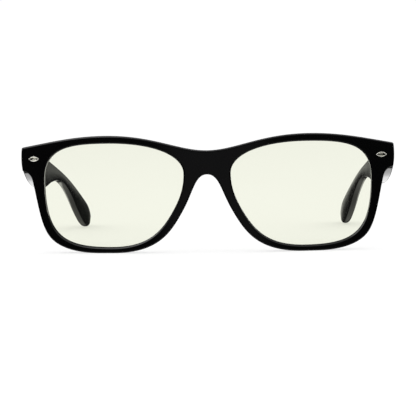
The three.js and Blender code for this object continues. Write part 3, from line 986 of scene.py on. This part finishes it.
def shield_metal():
    nodes = Nodes("shield_metal")
    # Painted shade: where ambient occlusion finds close surfaces, as in the sunken slit, the base colour
    # runs from bright silver down to near black.
    painted_shade_occlusion = nodes.add("ShaderNodeAmbientOcclusion")
    painted_shade_occlusion.inputs["Distance"].default_value = 0.0009
    painted_shade = nodes.ramp(painted_shade_occlusion.outputs["AO"], 0, 1, start=0.45, end=0.7)
    colour = nodes.blend_colour(painted_shade, (0.03, 0.026, 0.018), (0.95, 0.94, 0.85))
    nodes.link(colour, nodes.surface.inputs["Base Color"])
    nodes.surface.inputs["Metallic"].default_value = 1
    nodes.link(nodes.ramp(nodes.noise(3000, 4), 0.1, 0.2), nodes.surface.inputs["Roughness"])
    return nodes.material


def lens_material():
    """A clear sheet with a faint yellow-green tint, reflecting more at grazing angles."""
    nodes = Nodes("lens_clear")
    clear = nodes.add("ShaderNodeBsdfTransparent")
    clear.inputs["Color"].default_value = (0.933, 0.940, 0.880, 1)
    mirror = nodes.add("ShaderNodeBsdfGlossy")
    mirror.inputs["Roughness"].default_value = 0.01
    mirror.inputs["Color"].default_value = (0.78, 0.88, 1.0, 1)
    fresnel = nodes.add("ShaderNodeFresnel")
    fresnel.inputs["IOR"].default_value = 1.5
    smear = nodes.ramp(nodes.noise(45, 4), 0.85, 1.0)
    face = nodes.add("ShaderNodeNewGeometry")
    outer = nodes.ramp(face.outputs["Backfacing"], 1, 0, start=0, end=1)
    share = nodes.product(fresnel.outputs["Fac"], smear, outer)
    mix = nodes.add("ShaderNodeMixShader")
    nodes.link(share, mix.inputs["Fac"])
    nodes.link(clear.outputs["BSDF"], mix.inputs[1])
    nodes.link(mirror.outputs["BSDF"], mix.inputs[2])
    nodes.link(mix.outputs["Shader"], nodes.output.inputs["Surface"])
    return nodes.material


# ---- Pieces ----

FRAME_BLACK = black_plastic("frame_black", 0.07, 0.12)
PAD_BLACK = black_plastic("pad_black", 0.12, 0.2)
HINGE_STEEL = brushed_metal("hinge_steel", (0.5, 0.5, 0.5), 0.22, (1, 1, 9))
SCREW_STEEL = brushed_metal("screw_steel", (0.62, 0.62, 0.6), 0.18, (1, 1, 6))
CORE_STEEL = brushed_metal("core_steel", (0.45, 0.45, 0.45), 0.3, (1, 0.1, 1))
RIVET_SILVER = brushed_metal("rivet_silver", (0.8, 0.79, 0.74), 0.12, (1, 1, 1))
SHIELD_SILVER = shield_metal()
LENS_CLEAR = lens_material()


def add_front_pieces():
    add_piece(
        "front_shell", front_shell(), FRONT_PLACE, FRAME_BLACK, "front", "frame_front", 38
    )
    parts = [
        ("lens_sheet", lens_blank(), FRONT_PLACE, LENS_CLEAR, "lens", "lens", 40),
        ("bridge_pad", nose_pad(), FRONT_PLACE, PAD_BLACK, "nose_pad", "pad_black", 50),
        ("shield_face", shield(), shield_place(), SHIELD_SILVER, "shield", "shield_silver", 40),
        ("front_leaf", front_leaf(), HINGE_PLACE, HINGE_STEEL, "front_hinge", "hinge_steel", 30),
        ("screw", hinge_screw(), HINGE_PLACE, SCREW_STEEL, "hinge_screw", "screw_steel", 30),
    ]
    for name, mesh, place, material, node, slot, crease in parts:
        for side in SIDES:
            add_piece(
                f"{name}_{side}", mesh, side_place(place, side), material,
                "front", f"{node}_{side}", crease,
            )


def add_temples():
    parts = [
        ("temple_shell", temple(), ARM_PLACE, FRAME_BLACK, "temple", "frame_black", 38),
        ("temple_leaf", temple_leaf(), ARM_PLACE, HINGE_STEEL, "temple_hinge", "hinge_steel", 30),
    ]
    for height, (y, z) in RIVETS.items():
        place = ARM_PLACE @ Matrix.Translation((0, y, z))
        name = f"rivet_{height}"
        parts.append((name, temple_rivet(), place, RIVET_SILVER, f"temple_{name}", "shield_silver", 40))
    for name, mesh, place, material, node, slot, crease in parts:
        for side in SIDES:
            add_piece(
                f"{name}_{side}", mesh, side_place(place, side), material,
                f"temple_arm_{side}", f"{node}_{side}", crease,
            )


def finish_cores():
    """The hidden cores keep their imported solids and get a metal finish."""
    for side in SIDES:
        core = frame["nodes"][f"temple_core_{side}"]
        core.data.materials.clear()
        core.data.materials.append(CORE_STEEL)


add_front_pieces()
add_temples()
finish_cores()

# ---- Floor, light and camera ----


def add_floor():
    half = 8
    corners = [(-half, -half, 0), (half, -half, 0), (half, half, 0), (-half, half, 0)]
    mesh = build_mesh("floor", corners, [(0, 1, 2, 3)])
    floor = bpy.data.objects.new("floor", mesh)
    bpy.context.scene.collection.objects.link(floor)
    mesh.materials.append(floor_material())


def floor_material():
    """Pale paper that glows a little, so that it is white; reflections see floor_seen instead."""
    nodes = Nodes("floor_paper")
    nodes.surface.inputs["Base Color"].default_value = (0.36, 0.36, 0.36, 1)
    nodes.surface.inputs["Roughness"].default_value = 1
    nodes.surface.inputs["Specular IOR Level"].default_value = 0
    nodes.surface.inputs["Emission Color"].default_value = (1, 1, 1, 1)
    nodes.surface.inputs["Emission Strength"].default_value = 0.66
    seen = nodes.add("ShaderNodeEmission")
    nodes.link(floor_seen(nodes), seen.inputs["Strength"])
    path = nodes.add("ShaderNodeLightPath")
    mix = nodes.add("ShaderNodeMixShader")
    nodes.link(path.outputs["Is Glossy Ray"], mix.inputs["Fac"])
    nodes.link(nodes.surface.outputs["BSDF"], mix.inputs[1])
    nodes.link(seen.outputs["Emission"], mix.inputs[2])
    nodes.link(mix.outputs["Shader"], nodes.output.inputs["Surface"])
    return nodes.material


def floor_seen(nodes):
    """Brightness in reflections: dark close by, paler far behind, under the temples and seen steeply."""
    geometry = nodes.add("ShaderNodeNewGeometry")
    spot = nodes.axes(geometry.outputs["Position"])
    ray = nodes.axes(geometry.outputs["Incoming"])
    far = nodes.ramp(spot["Y"], 0.015, 0.22, start=0.3, end=0.75)
    steep = nodes.ramp(ray["Z"], 0, 0.4, start=0.3, end=0.6)
    strip = nodes.ramp(ray["Z"], 0.6, 2.9, start=0, end=0.6)
    straight = nodes.product(
        nodes.ramp(nodes.size_of(ray["X"]), 1, 0, start=0.12, end=0.19),
        nodes.ramp(ray["Z"], 1, 0, start=0.12, end=0.2),
        nodes.ramp(spot["Y"], 0.13, 1.2, start=-0.1, end=0.2),
    )
    return nodes.total(far, steep, nodes.product(strip, under_temples(nodes, spot)), straight)


def under_temples(nodes, spot):
    """One on the two strips of paper under the front halves of the temples, zero elsewhere."""
    beside = nodes.size_of(spot["X"])
    return nodes.product(
        nodes.ramp(beside, 0, 1, start=0.068, end=0.071),
        nodes.ramp(beside, 1, 0, start=0.085, end=0.09),
        nodes.ramp(spot["Y"], 0, 1, start=-0.07, end=-0.05),
        nodes.ramp(spot["Y"], 1, 0, start=0.03, end=0.08),
    )


def add_world():
    """White to the camera; reflections see sky_seen instead."""
    world = bpy.data.worlds.new("studio")
    bpy.context.scene.world = world
    world.use_nodes = True
    nodes = Tree(world.node_tree)
    nodes.tree.nodes.clear()
    seen = nodes.add("ShaderNodeBackground")
    nodes.link(sky_seen(nodes), seen.inputs["Strength"])
    white = nodes.add("ShaderNodeBackground", Color=(1, 1, 1, 1), Strength=1.02)
    path = nodes.add("ShaderNodeLightPath")
    mix = nodes.add("ShaderNodeMixShader")
    nodes.link(path.outputs["Is Glossy Ray"], mix.inputs["Fac"])
    nodes.link(white.outputs["Background"], mix.inputs[1])
    nodes.link(seen.outputs["Background"], mix.inputs[2])
    output = nodes.add("ShaderNodeOutputWorld")
    nodes.link(mix.outputs["Shader"], output.inputs["Surface"])


def sky_seen(nodes):
    """Brightness in reflections: a ceiling, a paler back, bright sides and a lamp high on the left."""
    soft = "SMOOTHSTEP"
    direction = nodes.add("ShaderNodeTexCoord").outputs["Generated"]
    axes = nodes.axes(direction)
    ceiling = nodes.ramp(axes["Z"], 0, 1, start=0.3, end=0.8, curve=soft)
    back = nodes.ramp(axes["Y"], 0.03, 0.1, start=-0.6, end=0.7, curve=soft)
    sides = nodes.product(
        nodes.ramp(nodes.size_of(axes["X"]), 0, 0.8, start=0.5, end=0.8, curve=soft),
        nodes.ramp(axes["Z"], 0.1, 1, start=0.15, end=0.5, curve=soft),
    )
    toward_lamp = nodes.add("ShaderNodeVectorMath", operation="DOT_PRODUCT")
    nodes.link(direction, toward_lamp.inputs[0])
    toward_lamp.inputs[1].default_value = Vector((-0.5, -0.6, 0.62)).normalized()
    lamp = nodes.ramp(toward_lamp.outputs["Value"], 0, 2.8, start=0.9, end=0.97, curve=soft)
    return nodes.total(ceiling, back, sides, lamp)


def add_softbox(name, place, size, power):
    """A rectangular light that faces the origin."""
    light = bpy.data.lights.new(name, "AREA")
    light.shape = "RECTANGLE"
    light.size, light.size_y = size
    light.energy = power
    lamp = bpy.data.objects.new(name, light)
    bpy.context.scene.collection.objects.link(lamp)
    lamp.location = place
    lamp.rotation_mode = "QUATERNION"
    lamp.rotation_quaternion = (-Vector(place)).to_track_quat("-Z", "Y")


def add_camera():
    """A long lens at the height and turn of the reference view."""
    distance = 0.7
    azimuth, elevation, roll = (math.radians(a) for a in (1.4, 3.9, -0.857))
    target = Vector((0.187 * MM, FRONT_LOW.y, 17.1 * MM))
    back = Vector((
        math.sin(azimuth) * math.cos(elevation),
        -math.cos(azimuth) * math.cos(elevation),
        math.sin(elevation),
    ))
    level = Vector((math.cos(azimuth), math.sin(azimuth), 0))
    up = back.cross(level)
    right = math.cos(roll) * level + math.sin(roll) * up
    camera = bpy.data.cameras.new("camera")
    camera.sensor_width = 36
    camera.lens = 158.7
    camera.clip_start = 0.01
    eye = bpy.data.objects.new("camera", camera)
    eye.matrix_world = Matrix((right, back.cross(right), back)).transposed().to_4x4()
    eye.location = target + back * distance
    bpy.context.scene.collection.objects.link(eye)
    bpy.context.scene.camera = eye


add_floor()
add_world()
add_softbox("top_light", (0, 0.1, 1.0), (1.2, 0.8), 1.2)
add_softbox("left_light", (-0.9, -0.1, 0.5), (0.25, 0.9), 0.7)
add_softbox("right_light", (0.9, -0.1, 0.5), (0.25, 0.9), 0.7)
add_camera()
bpy.context.scene.view_settings.view_transform = "Standard"
